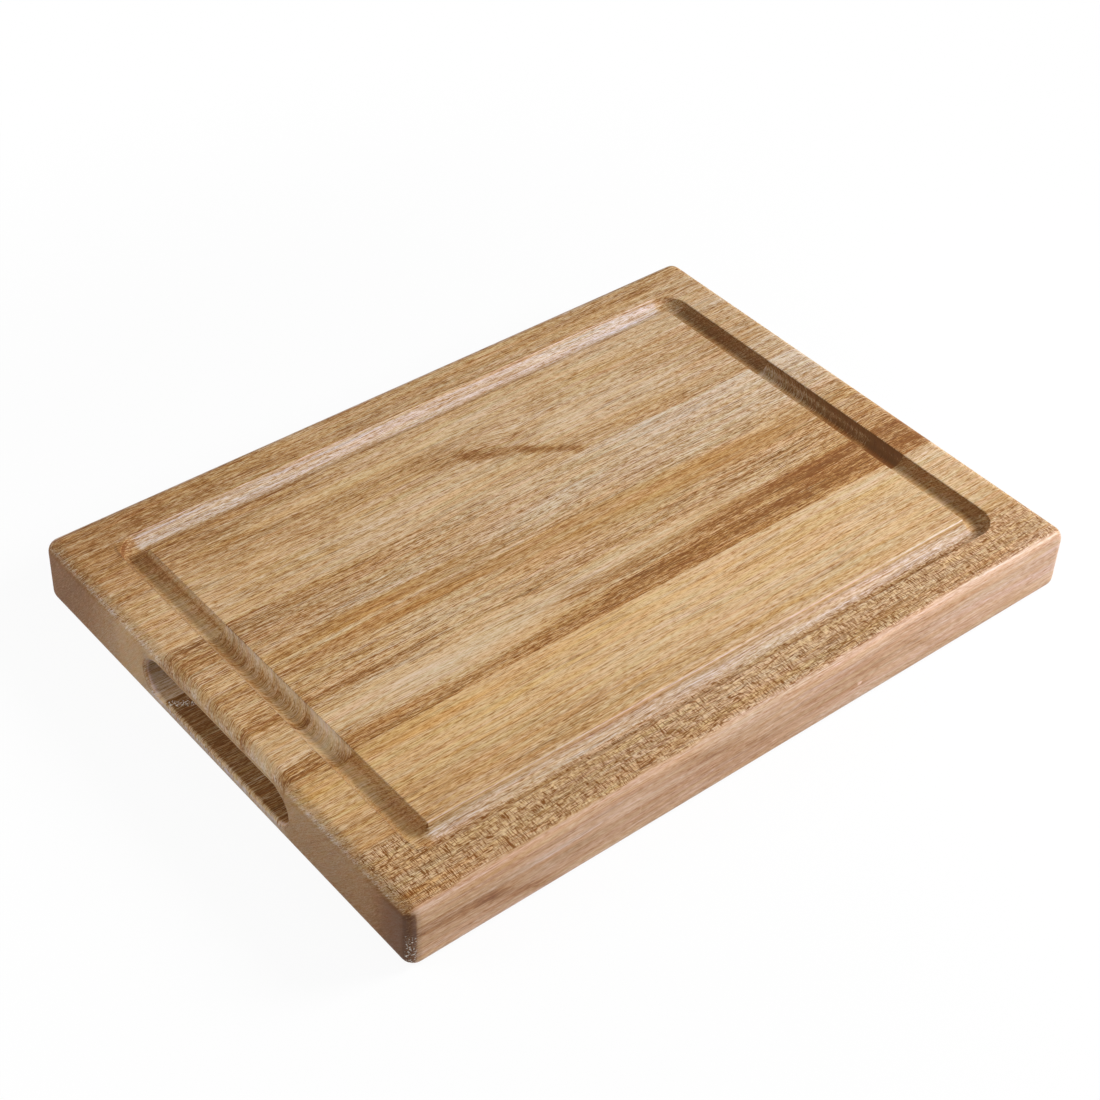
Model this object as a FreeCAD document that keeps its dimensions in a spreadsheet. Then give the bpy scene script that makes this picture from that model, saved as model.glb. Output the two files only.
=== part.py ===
import FreeCAD, Part
import math
import os

import Sketcher
from FreeCAD import Vector

# Steak board, in millimetres: three staves edge-glued into one blank, then machined as one board
# with a closed juice groove on top, a blind finger slot in each end and all edges rounded.
# Frame: X runs along the grain and the long side, Z is up, and the origin is the middle of the
# underside. The staves meet face to face at their glue lines, and nothing in the board moves.

DRIVING_SIZES = [
    ("board_length", 330.0, "along the grain"),
    ("board_width", 240.0, "across the three staves"),
    ("board_thickness", 30.0, "underside to carving face"),
    ("edge_radius", 5.3, "rounding of every outer edge and corner"),
    ("back_stave_width", 84.0, "finished width of the stave at +Y"),
    ("front_stave_width", 74.0, "finished width of the stave at -Y"),
    ("sawn_allowance", 4.0, "wood left round each sawn stave, cut away once it is glued"),
    ("groove_inset", 24.5, "side of the board to the line that the groove cutter follows"),
    ("groove_cutter_radius", 5.5, "round-nose cutter"),
    ("groove_depth", 4.6, "below the carving face"),
    ("groove_inner_radius", 0.3, "rounding left on the inner corners of the groove"),
    ("groove_overcut", 1.0, "reach of the cut above the carving face"),
    ("groove_edge_radius", 0.5, "sanding of the sharp edges that the cutter leaves"),
    ("slot_length", 94.0, "over the round ends of a finger slot"),
    ("slot_depth", 14.0, "end of the board to the back of a finger slot"),
    ("slot_floor_height", 6.0, "underside to the floor of a finger slot"),
    ("slot_roof_thickness", 6.0, "roof of a finger slot to the carving face"),
    ("slot_mouth_radius", 2.0, "rounding round the mouth of a finger slot"),
]
POSITION_TOLERANCE = 0.05

# Sizes that follow from the driving ones.
GROOVE_HALF_LENGTH = "(dims.board_length / 2 - dims.groove_inset)"
GROOVE_HALF_WIDTH = "(dims.board_width / 2 - dims.groove_inset)"
GROOVE_CORNER_RADIUS = "(dims.groove_cutter_radius + dims.groove_inner_radius)"
CUTTER_CENTRE_HEIGHT = "(dims.board_thickness - dims.groove_depth + dims.groove_cutter_radius)"
SLOT_HEIGHT = "(dims.board_thickness - dims.slot_floor_height - dims.slot_roof_thickness)"
SLOT_MIDDLE_HEIGHT = f"(dims.slot_floor_height + {SLOT_HEIGHT} / 2)"
SLOT_STRAIGHT_LENGTH = f"(dims.slot_length - {SLOT_HEIGHT})"
# The roof wall is rounded on both sides, so the mouth takes a little under half of it at most.
SLOT_MOUTH_RADIUS = "min(dims.slot_mouth_radius; 0.45 * dims.slot_roof_thickness)"
MIDDLE_STAVE_WIDTH = "(dims.board_width - dims.front_stave_width - dims.back_stave_width)"

doc = FreeCAD.newDocument("SteakBoard")


def make_sheet():
    """The spreadsheet with the driving sizes, one alias a row."""
    sheet = doc.addObject("Spreadsheet::Sheet", "dims")
    for row, (alias, millimetres, meaning) in enumerate(DRIVING_SIZES, start=1):
        sheet.set(f"A{row}", alias)
        sheet.set(f"B{row}", str(millimetres))
        sheet.set(f"C{row}", meaning)
        sheet.setAlias(f"B{row}", alias)
    doc.recompute()
    return sheet


def origin_plane(body, role):
    """One of a body's own origin planes, such as XY_Plane."""
    return next(plane for plane in body.Origin.OriginFeatures if plane.Role == role)


def make_sketch(body, name, role, height="0"):
    """An empty sketch on an origin plane, raised along the plane's normal by an expression."""
    sketch = body.newObject("Sketcher::SketchObject", name)
    sketch.AttachmentSupport = [(origin_plane(body, role), "")]
    sketch.MapMode = "FlatFace"
    sketch.setExpression("AttachmentOffset.Base.z", height)
    return sketch


def add_line(sketch, start, end):
    return sketch.addGeometry(Part.LineSegment(Vector(*start), Vector(*end)))


def add_arc(sketch, centre, radius, start_degrees, end_degrees):
    circle = Part.Circle(Vector(*centre), Vector(0, 0, 1), radius)
    return sketch.addGeometry(Part.ArcOfCircle(circle, math.radians(start_degrees), math.radians(end_degrees)))


def dimension(sketch, name, expression, kind, *places):
    """A dimension of a sketch, taken from the sheet."""
    index = sketch.addConstraint(Sketcher.Constraint(kind, *places, sketch.evalExpression(expression)))
    sketch.renameConstraint(index, name)
    sketch.setExpression(f"Constraints.{name}", expression)


def constrain(sketch, kind, *places):
    sketch.addConstraint(Sketcher.Constraint(kind, *places))


# Ends of a sketch curve, and the sketch's own origin and axes, as its constraints number them.
START, END, CENTRE = range(1, 4)
X_AXIS, Y_AXIS = range(-1, -3, -1)
ORIGIN = (X_AXIS, START)


def draw_blank_outline(sketch):
    """The glued blank's rectangle, about the origin."""
    half_length = sketch.evalExpression("dims.board_length / 2")
    half_width = sketch.evalExpression("dims.board_width / 2")
    corners = [(-half_length, -half_width), (half_length, -half_width),
               (half_length, half_width), (-half_length, half_width)]
    front, right, back, left = [add_line(sketch, a, b) for a, b in zip(corners, corners[1:] + corners[:1])]
    for first, second in ((front, right), (right, back), (back, left), (left, front)):
        constrain(sketch, "Coincident", first, END, second, START)
    for line in (front, back):
        constrain(sketch, "Horizontal", line)
    for line in (right, left):
        constrain(sketch, "Vertical", line)
    constrain(sketch, "Symmetric", front, START, back, START, *ORIGIN)
    dimension(sketch, "length", "dims.board_length", "DistanceX", front, START, front, END)
    dimension(sketch, "width", "dims.board_width", "DistanceY", right, START, right, END)


def draw_groove_route(sketch):
    """The closed line that the groove cutter follows: a rectangle with rounded corners."""
    x = sketch.evalExpression(GROOVE_HALF_LENGTH)
    y = sketch.evalExpression(GROOVE_HALF_WIDTH)
    r = sketch.evalExpression(GROOVE_CORNER_RADIUS)
    back = add_line(sketch, (-x + r, y), (x - r, y))
    back_right = add_arc(sketch, (x - r, y - r), r, 0, 90)
    right = add_line(sketch, (x, y - r), (x, -y + r))
    front_right = add_arc(sketch, (x - r, -y + r), r, 270, 360)
    front = add_line(sketch, (x - r, -y), (-x + r, -y))
    front_left = add_arc(sketch, (-x + r, -y + r), r, 180, 270)
    left = add_line(sketch, (-x, -y + r), (-x, y - r))
    back_left = add_arc(sketch, (-x + r, y - r), r, 90, 180)
    for line, line_end, arc, arc_end in (
            (back, END, back_right, END), (right, START, back_right, START),
            (right, END, front_right, END), (front, START, front_right, START),
            (front, END, front_left, END), (left, START, front_left, START),
            (left, END, back_left, END), (back, START, back_left, START)):
        constrain(sketch, "Tangent", line, line_end, arc, arc_end)
    for arc in (front_right, front_left, back_left):
        constrain(sketch, "Equal", back_right, arc)
    constrain(sketch, "Horizontal", front)
    constrain(sketch, "Vertical", left)
    constrain(sketch, "Symmetric", back, START, back, END, Y_AXIS)
    constrain(sketch, "Symmetric", right, START, right, END, X_AXIS)
    dimension(sketch, "half_length", GROOVE_HALF_LENGTH, "DistanceX", *ORIGIN, right, START)
    dimension(sketch, "half_width", GROOVE_HALF_WIDTH, "DistanceY", *ORIGIN, back, START)
    dimension(sketch, "corner_radius", GROOVE_CORNER_RADIUS, "Radius", back_right)


def draw_groove_section(sketch):
    """The round-nose cutter's section: an arc up to the carving face, and straight sides above it."""
    top = sketch.evalExpression("dims.board_thickness")
    overcut = sketch.evalExpression("dims.groove_overcut")
    radius = sketch.evalExpression("dims.groove_cutter_radius")
    middle = sketch.evalExpression(GROOVE_HALF_WIDTH)
    centre = sketch.evalExpression(CUTTER_CENTRE_HEIGHT)
    half_angle = math.degrees(math.acos((centre - top) / radius))
    half_chord = radius * math.sin(math.radians(half_angle))
    nose = add_arc(sketch, (middle, centre), radius, 270 - half_angle, 270 + half_angle)
    right = add_line(sketch, (middle + half_chord, top), (middle + half_chord, top + overcut))
    lid = add_line(sketch, (middle + half_chord, top + overcut), (middle - half_chord, top + overcut))
    left = add_line(sketch, (middle - half_chord, top + overcut), (middle - half_chord, top))
    for first, second in ((nose, right), (right, lid), (lid, left), (left, nose)):
        constrain(sketch, "Coincident", first, END, second, START)
    for line in (right, left):
        constrain(sketch, "Vertical", line)
    constrain(sketch, "Horizontal", lid)
    constrain(sketch, "Horizontal", nose, START, nose, END)
    dimension(sketch, "radius", "dims.groove_cutter_radius", "Radius", nose)
    dimension(sketch, "middle", GROOVE_HALF_WIDTH, "DistanceX", *ORIGIN, nose, CENTRE)
    dimension(sketch, "centre_height", CUTTER_CENTRE_HEIGHT, "DistanceY", *ORIGIN, nose, CENTRE)
    dimension(sketch, "face_height", "dims.board_thickness", "DistanceY", *ORIGIN, nose, START)
    dimension(sketch, "overcut", "dims.groove_overcut", "DistanceY", right, START, right, END)


def draw_slot_outline(sketch):
    """A finger slot seen from its end of the board: straight floor and roof, with round ends."""
    radius = sketch.evalExpression(f"{SLOT_HEIGHT} / 2")
    reach = sketch.evalExpression(f"{SLOT_STRAIGHT_LENGTH} / 2")
    height = sketch.evalExpression(SLOT_MIDDLE_HEIGHT)
    roof = add_line(sketch, (-reach, height + radius), (reach, height + radius))
    right = add_arc(sketch, (reach, height), radius, 270, 450)
    floor = add_line(sketch, (reach, height - radius), (-reach, height - radius))
    left = add_arc(sketch, (-reach, height), radius, 90, 270)
    for line, line_end, arc, arc_end in ((roof, END, right, END), (floor, START, right, START),
                                         (floor, END, left, END), (roof, START, left, START)):
        constrain(sketch, "Tangent", line, line_end, arc, arc_end)
    constrain(sketch, "Equal", right, left)
    constrain(sketch, "Symmetric", left, CENTRE, right, CENTRE, Y_AXIS)
    dimension(sketch, "radius", f"{SLOT_HEIGHT} / 2", "Radius", right)
    dimension(sketch, "centres", SLOT_STRAIGHT_LENGTH, "DistanceX", left, CENTRE, right, CENTRE)
    dimension(sketch, "height", SLOT_MIDDLE_HEIGHT, "DistanceY", *ORIGIN, right, CENTRE)


def groove_edges(shape):
    """The edges where the juice groove breaks out through the carving face."""
    face_height = float(dims.board_thickness)
    flat_half_length = face_half_size(dims.board_length)
    flat_half_width = face_half_size(dims.board_width)
    names = []
    for number, edge in enumerate(shape.Edges, start=1):
        box = edge.BoundBox
        on_the_face = abs(box.ZMin - face_height) + abs(box.ZMax - face_height) < POSITION_TOLERANCE
        inside_the_rim = (max(box.XMax, -box.XMin) < flat_half_length
                          and max(box.YMax, -box.YMin) < flat_half_width)
        if on_the_face and inside_the_rim:
            names.append(f"Edge{number}")
    return names


def face_half_size(overall):
    """Half the flat part of the carving face, inside the rounded edges."""
    return float(overall) / 2 - float(dims.edge_radius) - POSITION_TOLERANCE


def slot_mouth_edges(shape):
    """The edges where the two finger slots break out through the ends of the board."""
    end = float(dims.board_length) / 2 - float(dims.edge_radius)
    side = float(dims.slot_length) / 2 + POSITION_TOLERANCE
    floor = float(dims.slot_floor_height) - POSITION_TOLERANCE
    roof = float(dims.board_thickness) - float(dims.slot_roof_thickness) + POSITION_TOLERANCE
    names = []
    for number, edge in enumerate(shape.Edges, start=1):
        box = edge.BoundBox
        at_an_end = box.XMin > end or box.XMax < -end
        within_slot = -side < box.YMin and box.YMax < side and floor < box.ZMin and box.ZMax < roof
        if at_an_end and within_slot:
            names.append(f"Edge{number}")
    return names


def machine_board():
    """The glued blank, machined: edges rounded, juice groove cut, finger slots cut and eased."""
    body = doc.addObject("PartDesign::Body", "machined_board")

    outline = make_sketch(body, "blank_outline", "XY_Plane")
    draw_blank_outline(outline)
    blank = body.newObject("PartDesign::Pad", "glued_blank")
    blank.Profile = outline
    blank.setExpression("Length", "dims.board_thickness")
    doc.recompute()

    rounded = body.newObject("PartDesign::Fillet", "rounded_edges")
    rounded.Base = (blank, [f"Edge{number}" for number in range(1, len(blank.Shape.Edges) + 1)])
    rounded.setExpression("Radius", "dims.edge_radius")
    doc.recompute()

    route = make_sketch(body, "groove_route", "XY_Plane", "dims.board_thickness")
    draw_groove_route(route)
    section = make_sketch(body, "groove_section", "YZ_Plane",
                          f"{GROOVE_CORNER_RADIUS} - {GROOVE_HALF_LENGTH}")
    draw_groove_section(section)
    doc.recompute()
    groove = body.newObject("PartDesign::SubtractivePipe", "juice_groove")
    groove.Profile = section
    groove.Spine = route
    groove.Mode = "Binormal"
    groove.Binormal = Vector(0, 0, 1)
    doc.recompute()
    check_cut(rounded, groove)

    sanded = body.newObject("PartDesign::Fillet", "sanded_groove_edges")
    sanded.Base = (groove, groove_edges(groove.Shape))
    sanded.setExpression("Radius", "dims.groove_edge_radius")
    doc.recompute()
    check_cut(groove, sanded)

    slot_outline = make_sketch(body, "slot_outline", "YZ_Plane", "dims.board_length / 2")
    draw_slot_outline(slot_outline)
    doc.recompute()
    slot = body.newObject("PartDesign::Pocket", "finger_slot")
    slot.Profile = slot_outline
    slot.setExpression("Length", "dims.slot_depth")
    doc.recompute()
    check_cut(sanded, slot)

    both_slots = body.newObject("PartDesign::Mirrored", "both_finger_slots")
    both_slots.Originals = [slot]
    both_slots.MirrorPlane = (origin_plane(body, "YZ_Plane"), [""])
    body.Tip = both_slots
    doc.recompute()
    check_cut(slot, both_slots)

    mouths = body.newObject("PartDesign::Fillet", "slot_mouths")
    mouths.Base = (both_slots, slot_mouth_edges(both_slots.Shape))
    mouths.setExpression("Radius", SLOT_MOUTH_RADIUS)
    doc.recompute()
    check_cut(both_slots, mouths)
    return body


def check_cut(before, after):
    """Stop unless the step took wood away."""
    if after.Shape.isNull() or after.Shape.Volume >= before.Shape.Volume:
        raise RuntimeError(f"{after.Name} removes nothing")


def make_stave(name, board, front_side, width):
    """One stave of the board: a sawn stave, oversize all round, with what the machining leaves of it."""
    sawn = doc.addObject("Part::Box", f"sawn_{name}")
    sawn.setExpression("Length", "dims.board_length + 2 * dims.sawn_allowance")
    sawn.setExpression("Width", width)
    sawn.setExpression("Height", "dims.board_thickness + 2 * dims.sawn_allowance")
    sawn.setExpression("Placement.Base.x", "-dims.board_length / 2 - dims.sawn_allowance")
    sawn.setExpression("Placement.Base.y", front_side)
    sawn.setExpression("Placement.Base.z", "-dims.sawn_allowance")
    stave = doc.addObject("Part::Common", name)
    stave.Base = board
    stave.Tool = sawn
    stave.Label = name
    return stave


def make_staves(board):
    """The three finished staves, from the front of the board to the back."""
    return [
        make_stave("front_stave", board,
                   "-dims.board_width / 2 - dims.sawn_allowance",
                   "dims.front_stave_width + dims.sawn_allowance"),
        make_stave("middle_stave", board,
                   "dims.front_stave_width - dims.board_width / 2",
                   MIDDLE_STAVE_WIDTH),
        make_stave("back_stave", board,
                   "dims.board_width / 2 - dims.back_stave_width",
                   "dims.back_stave_width + dims.sawn_allowance"),
    ]


def check_model(board, staves):
    """Stop if a step failed, a stave isn't one sound solid, or the staves don't make up the board."""
    for item in doc.Objects:
        if {"Invalid", "Error"} & set(item.State):
            raise RuntimeError(f"{item.Name} failed: {item.State}")
    for stave in staves:
        if stave.Shape.isNull() or not stave.Shape.isValid() or len(stave.Shape.Solids) != 1:
            raise RuntimeError(f"{stave.Label} is not one sound solid")
    total = sum(stave.Shape.Volume for stave in staves)
    if not math.isclose(total, board.Shape.Volume, rel_tol=1e-6):
        raise RuntimeError("the staves do not add up to the board")


dims = make_sheet()
machined_board = machine_board()
staves = make_staves(machined_board)
doc.recompute()
check_model(machined_board, staves)

os.makedirs("parts", exist_ok=True)
for stave in staves:
    stave.Shape.exportStep(f"parts/{stave.Label}.step")
    print(stave.Label, round(stave.Shape.Volume), "cubic mm")
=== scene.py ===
import math
import bpy
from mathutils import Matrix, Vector


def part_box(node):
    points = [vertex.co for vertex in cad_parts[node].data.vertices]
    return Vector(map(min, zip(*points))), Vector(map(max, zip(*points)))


# The steak board: three edge-glued acacia staves, machined as one board.
# Lengths in the patterns are millimetres, and everything else is metres.
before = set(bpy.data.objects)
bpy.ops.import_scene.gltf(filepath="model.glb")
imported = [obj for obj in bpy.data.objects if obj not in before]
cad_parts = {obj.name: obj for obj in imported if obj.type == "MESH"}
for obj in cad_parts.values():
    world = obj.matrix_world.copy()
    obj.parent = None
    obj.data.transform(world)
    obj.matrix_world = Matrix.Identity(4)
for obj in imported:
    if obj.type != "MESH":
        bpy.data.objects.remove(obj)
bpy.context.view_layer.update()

MM = 0.001
front_low, front_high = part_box("front_stave")
back_low, back_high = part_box("back_stave")
BOARD_LENGTH = (back_high.x - back_low.x) / MM
BOARD_WIDTH = (back_high.y - front_low.y) / MM
BOARD_THICKNESS = (back_high.z - back_low.z) / MM
FRONT_GLUE_LINE = front_high.y / MM
BACK_GLUE_LINE = back_low.y / MM

# The juice groove: its centre line lies a border's width inside the outer edge, and its
# reach is half its width at the carving face.
BORDER = 24.5
GROOVE_HALF_LENGTH = BOARD_LENGTH / 2 - BORDER
GROOVE_HALF_WIDTH = BOARD_WIDTH / 2 - BORDER
GROOVE_REACH = 5.43

# The finger slots: heights over the underside, and the round of the mouth.
SLOT_HALF_LENGTH = 47.0
SLOT_FLOOR = 6.0
SLOT_ROOF = 24.0
SLOT_DEPTH = 14.0
MOUTH_ROUND = 2.0

# The knot in the back stave: its middle and its reach along and across the grain.
KNOT_ALONG = 16.0
KNOT_SIDE = 63.0
KNOT_HALF_LENGTH = 26.0
KNOT_HALF_WIDTH = 11.0

# The camera, solved from the board's outline in the photograph.
CAMERA_PLACE = Vector((-0.462015, -0.521674, 0.626497))
CAMERA_TURN = math.radians(-41.1307)
CAMERA_RISE = math.radians(40.9746)
CAMERA_ROLL = math.radians(2.8112)
CAMERA_LENS = 75.72
CAMERA_SENSOR = 36.0
CAMERA_CLIP = 0.01

# Acacia under oil, from the palest sapwood to the darkest heartwood. A tone is a number
# from -1.5 for the palest to 2 for the darkest, and 0 is plain tan.
PALEST_TONE = -1.5
TONE_SPAN = 3.5
ACACIA = (
    (-1.5, (0.640, 0.490, 0.330)),
    (-1.0, (0.585, 0.425, 0.260)),
    (-0.5, (0.530, 0.365, 0.200)),
    (0.0, (0.470, 0.305, 0.146)),
    (0.5, (0.405, 0.237, 0.094)),
    (1.0, (0.337, 0.172, 0.056)),
    (1.5, (0.262, 0.110, 0.026)),
    (2.0, (0.180, 0.066, 0.014)),
)
# Tints that the wood's colour is multiplied by.
UNTINTED = (1.0, 1.0, 1.0)
REDDER = (1.04, 0.96, 0.97)
GREENER = (0.97, 1.04, 0.98)
GREYER = (0.97, 1.06, 1.32)
GOLDEN = (1.02, 0.87, 0.55)
# Pinker wood on the long sides, which also paints a sheen on them.
PINK_AND_SHEEN_SIDE = (1.02, 1.03, 1.45)
# Painted highlight on the front-facing walls of the groove's long runs.
PAINTED_WALL_HIGHLIGHT = (0.99, 1.12, 1.58)
ASHEN_END = (0.91, 1.05, 1.58)
DUSKY_WALL = (1.00, 1.06, 1.20)
HAIRLINE = (0.68, 0.63, 0.60)
SHADED = (0.58, 0.56, 0.60)
SPLINTER_WHITE = (0.92, 0.88, 0.80)
WHITE = (1.0, 1.0, 1.0, 1.0)

VALUE = "NodeSocketFloat"
VECTOR = "NodeSocketVector"
COLOUR = "NodeSocketColor"


class Pattern:
    """One node tree, with short ways to add the nodes that a pattern needs."""

    def __init__(self, tree):
        tree.nodes.clear()
        self.tree = tree

    def node(self, kind, **settings):
        made = self.tree.nodes.new(kind)
        for name, value in settings.items():
            setattr(made, name, value)
        return made

    def feed(self, socket, value):
        if isinstance(value, bpy.types.NodeSocket):
            self.tree.links.new(value, socket)
        else:
            socket.default_value = value

    def math(self, operation, *values):
        made = self.node("ShaderNodeMath", operation=operation)
        for socket, value in zip(made.inputs, values):
            self.feed(socket, value)
        return made.outputs[0]

    def add(self, first, second):
        return self.math("ADD", first, second)

    def less(self, first, second):
        return self.math("SUBTRACT", first, second)

    def times(self, first, *others):
        product = first
        for other in others:
            product = self.math("MULTIPLY", product, other)
        return product

    def plus(self, base, mask, amount):
        """The base with amount of the mask added to it."""
        return self.math("MULTIPLY_ADD", mask, amount, base)

    def size_of(self, value):
        return self.math("ABSOLUTE", value)

    def either(self, first, second):
        return self.math("MAXIMUM", first, second)

    def outside(self, mask):
        """1 where the mask is 0, and 0 where it is 1."""
        return self.less(1.0, mask)

    def step(self, value, low, high):
        """0 where value is at low, 1 where it is at high, smooth in between."""
        made = self.node("ShaderNodeMapRange", interpolation_type="SMOOTHSTEP")
        self.feed(made.inputs["Value"], value)
        self.feed(made.inputs["From Min"], low)
        self.feed(made.inputs["From Max"], high)
        return made.outputs["Result"]

    def near(self, value, place, outer, inner):
        """1 within inner of the place, 0 beyond outer."""
        return self.step(self.size_of(self.less(value, place)), outer, inner)

    def blend(self, share, first, second):
        """The first value where share is 0, the second where it is 1."""
        made = self.node("ShaderNodeMix", data_type="FLOAT")
        self.feed(made.inputs["Factor"], share)
        self.feed(made.inputs[2], first)
        self.feed(made.inputs[3], second)
        return made.outputs[0]

    def vector(self, operation, first, second):
        made = self.node("ShaderNodeVectorMath", operation=operation)
        self.feed(made.inputs[0], first)
        self.feed(made.inputs[1], second)
        return made.outputs[0]

    def split(self, vector):
        made = self.node("ShaderNodeSeparateXYZ")
        self.feed(made.inputs[0], vector)
        return made.outputs[0], made.outputs[1], made.outputs[2]

    def join(self, x, y, z):
        made = self.node("ShaderNodeCombineXYZ")
        for socket, value in zip(made.inputs, (x, y, z)):
            self.feed(socket, value)
        return made.outputs[0]

    def noise_node(self, place, size, detail, roughness=0.5):
        made = self.node("ShaderNodeTexNoise")
        self.feed(made.inputs["Vector"], self.vector("DIVIDE", place, size))
        made.inputs["Scale"].default_value = 1.0
        made.inputs["Detail"].default_value = detail
        made.inputs["Roughness"].default_value = roughness
        return made

    def noise(self, place, size, detail, roughness=0.5):
        """Noise about 0, whose blotches are size long along X, Y and Z."""
        return self.less(self.noise_node(place, size, detail, roughness).outputs["Fac"], 0.5)

    def cells(self, place, size):
        """Distance to the nearest of scattered points, and a random value for each."""
        made = self.node("ShaderNodeTexVoronoi")
        self.feed(made.inputs["Vector"], self.vector("DIVIDE", place, size))
        made.inputs["Scale"].default_value = 1.0
        return made.outputs["Distance"], self.split(made.outputs["Color"])[0]

    def ramp(self, value, stops):
        made = self.node("ShaderNodeValToRGB")
        ramp = made.color_ramp
        while len(ramp.elements) < len(stops):
            ramp.elements.new(0.5)
        for element, (position, colour) in zip(ramp.elements, stops):
            element.position = position
            element.color = (*colour, 1.0)
        self.feed(made.inputs["Fac"], value)
        return made.outputs["Color"]

    def mix(self, share, first, second, blend="MIX"):
        made = self.node("ShaderNodeMix", data_type="RGBA", blend_type=blend)
        self.feed(made.inputs["Factor"], share)
        for name, value in (("A", first), ("B", second)):
            socket = [s for s in made.inputs if s.name == name and s.type == "RGBA"][0]
            self.feed(socket, value if isinstance(value, bpy.types.NodeSocket) else (*value, 1.0))
        return [s for s in made.outputs if s.type == "RGBA"][0]

    def tint(self, colour, share, tint, other=UNTINTED):
        """The colour multiplied by other where share is 0, and by tint where it is 1."""
        return self.mix(1.0, colour, self.mix(share, other, tint), blend="MULTIPLY")

    def place(self, group, **values):
        """Adds a group, feeds its inputs by name and returns its outputs by name."""
        made = self.node("ShaderNodeGroup", node_tree=group)
        for name, value in values.items():
            self.feed(made.inputs[name.replace("_", " ")], value)
        return {socket.name: socket for socket in made.outputs}


def new_group(name, inputs, outputs):
    """A shader node group: its pattern, its inputs by name and a way to set an output."""
    tree = bpy.data.node_groups.new(name, "ShaderNodeTree")
    for socket_name, kind in inputs.items():
        tree.interface.new_socket(socket_name, in_out="INPUT", socket_type=kind)
    for socket_name, kind in outputs.items():
        tree.interface.new_socket(socket_name, in_out="OUTPUT", socket_type=kind)
    pattern = Pattern(tree)
    entry = pattern.node("NodeGroupInput")
    leave = pattern.node("NodeGroupOutput")
    given = {socket.name: socket for socket in entry.outputs if socket.name}

    def put(socket_name, value):
        pattern.feed(leave.inputs[socket_name], value)

    return pattern, given, put


def numbers(*names):
    return {name: VALUE for name in names}


def build_timber_group():
    """Where a point lies in its plank, in millimetres: along the grain, across the growth
    layers and up. The layers wander, lean through the thickness and part round a knot."""
    pattern, given, put = new_group(
        "Timber", numbers("Plank", "Lean", "Knot"),
        {"Fibre": VECTOR, **numbers("Along", "Across", "Straight", "Side", "Height")})
    coordinates = pattern.node("ShaderNodeTexCoord")
    millimetres = pattern.vector("DIVIDE", coordinates.outputs["Object"], (MM, MM, MM))
    along, side, height = pattern.split(millimetres)
    shifted = pattern.vector("ADD", millimetres, pattern.join(given["Plank"], 0.0, given["Plank"]))
    slow = pattern.noise(shifted, (75.0, 24.0, 24.0), detail=1.0)
    quick = pattern.noise(shifted, (17.0, 4.0, 4.0), detail=1.0)
    straight = pattern.plus(pattern.plus(side, slow, 3.6), quick, 0.5)
    straight = pattern.plus(straight, pattern.less(height, BOARD_THICKNESS), given["Lean"])
    knot_along = pattern.math("DIVIDE", pattern.less(along, KNOT_ALONG), KNOT_HALF_LENGTH)
    knot_side = pattern.math("DIVIDE", pattern.less(side, KNOT_SIDE), KNOT_HALF_WIDTH)
    knot_reach = pattern.math("SQRT", pattern.add(
        pattern.times(knot_along, knot_along), pattern.times(knot_side, knot_side)))
    knot = pattern.times(pattern.step(knot_reach, 1.0, 0.0), given["Knot"])
    across = pattern.plus(straight, pattern.times(knot, knot_side), -3.2)
    across = pattern.plus(across, pattern.times(knot, knot_along), 3.0)
    put("Fibre", pattern.join(
        pattern.add(along, given["Plank"]), across, pattern.add(height, given["Plank"])))
    put("Along", along)
    put("Across", across)
    put("Straight", straight)
    put("Side", side)
    put("Height", height)
    return pattern.tree


def build_grain_group():
    """Growth bands, fibre lines, hairlines and open pores of acacia, and its drift to gold
    and to green."""
    pattern, given, put = new_group(
        "Acacia grain", {"Fibre": VECTOR},
        numbers("Bands", "Lines", "Hairlines", "Hairs", "Pores", "Gold", "Green"))
    fibre = given["Fibre"]
    put("Bands", pattern.noise(fibre, (110.0, 2.4, 8.0), detail=2.0))
    put("Lines", pattern.noise(fibre, (26.0, 0.45, 2.5), detail=1.0))
    hairlines = pattern.noise(fibre, (17.0, 0.32, 3.0), detail=0.0)
    crowded = pattern.noise(fibre, (40.0, 5.0, 6.0), detail=1.0)
    put("Hairlines", pattern.step(pattern.plus(hairlines, crowded, 0.5), 0.13, 0.25))
    hairs = pattern.noise(fibre, (3.2, 0.23, 0.6), detail=2.0, roughness=0.65)
    darker = pattern.either(hairs, 0.0)
    put("Hairs", pattern.plus(hairs, pattern.times(darker, darker), 2.2))
    drift = pattern.noise_node(fibre, (55.0, 2.2, 6.0), detail=1.0)
    gold, green = pattern.split(drift.outputs["Color"])[:2]
    put("Gold", pattern.less(gold, 0.5))
    put("Green", pattern.less(green, 0.5))
    near, chance = pattern.cells(fibre, (8.0, 0.6, 0.8))
    clusters = pattern.noise(fibre, (50.0, 4.0, 5.0), detail=0.0)
    open_pore = pattern.math("LESS_THAN", chance, pattern.plus(0.42, clusters, 1.4))
    put("Pores", pattern.times(pattern.step(near, 0.34, 0.14), open_pore))
    return pattern.tree


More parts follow.
